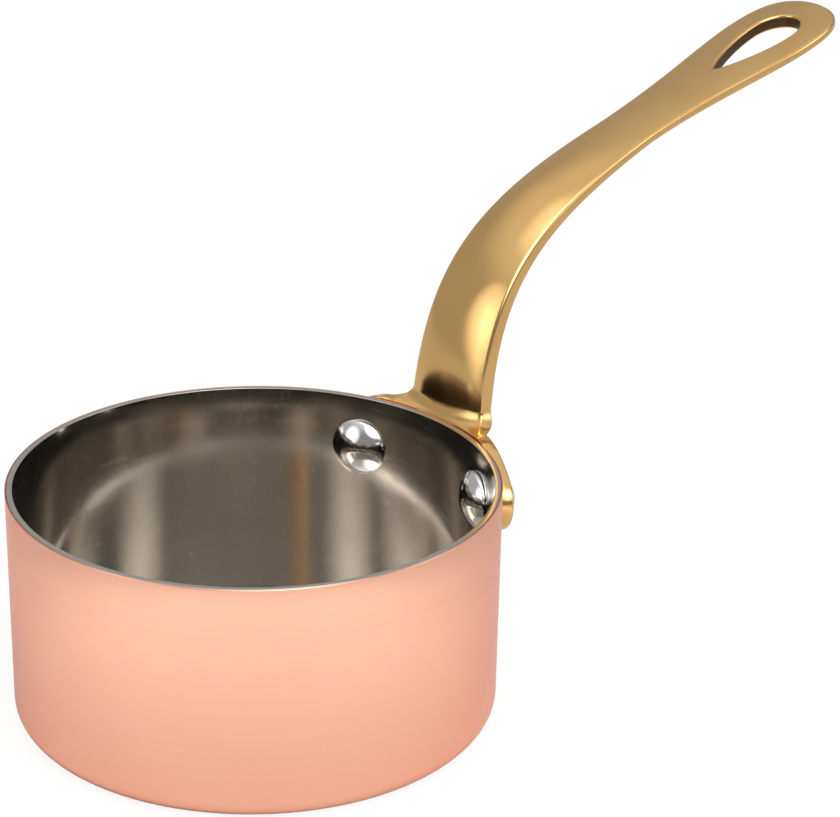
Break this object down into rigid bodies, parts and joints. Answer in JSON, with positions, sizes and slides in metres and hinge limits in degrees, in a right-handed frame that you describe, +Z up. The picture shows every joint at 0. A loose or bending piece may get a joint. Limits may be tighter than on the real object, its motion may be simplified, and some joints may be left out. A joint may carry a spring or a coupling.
{
  "type": "saucepan",
  "caption": "Small round saucepan: copper outside, stainless lining inside, and a curved brass handle riveted to the wall, with a drop-shaped hanging hole.",
  "frame": {"origin": "The middle of the base, on the face that it stands on.", "axes": "+Z is up along the pan's axis, and +X points from the pan's axis along the handle."},
  "size_m": [0.1954, 0.09, 0.1082],
  "materials": {
    "copper": "softly polished copper",
    "lining": "satin stainless steel",
    "brass": "cast brass, softly polished",
    "rivet": "mirror-polished stainless steel"
  },
  "bodies": {
    "root": {"copper_shell": "copper", "steel_lining": "lining", "brass_handle": "brass", "rivet_left": "rivet", "rivet_right": "rivet"}
  },
  "joints": []
}
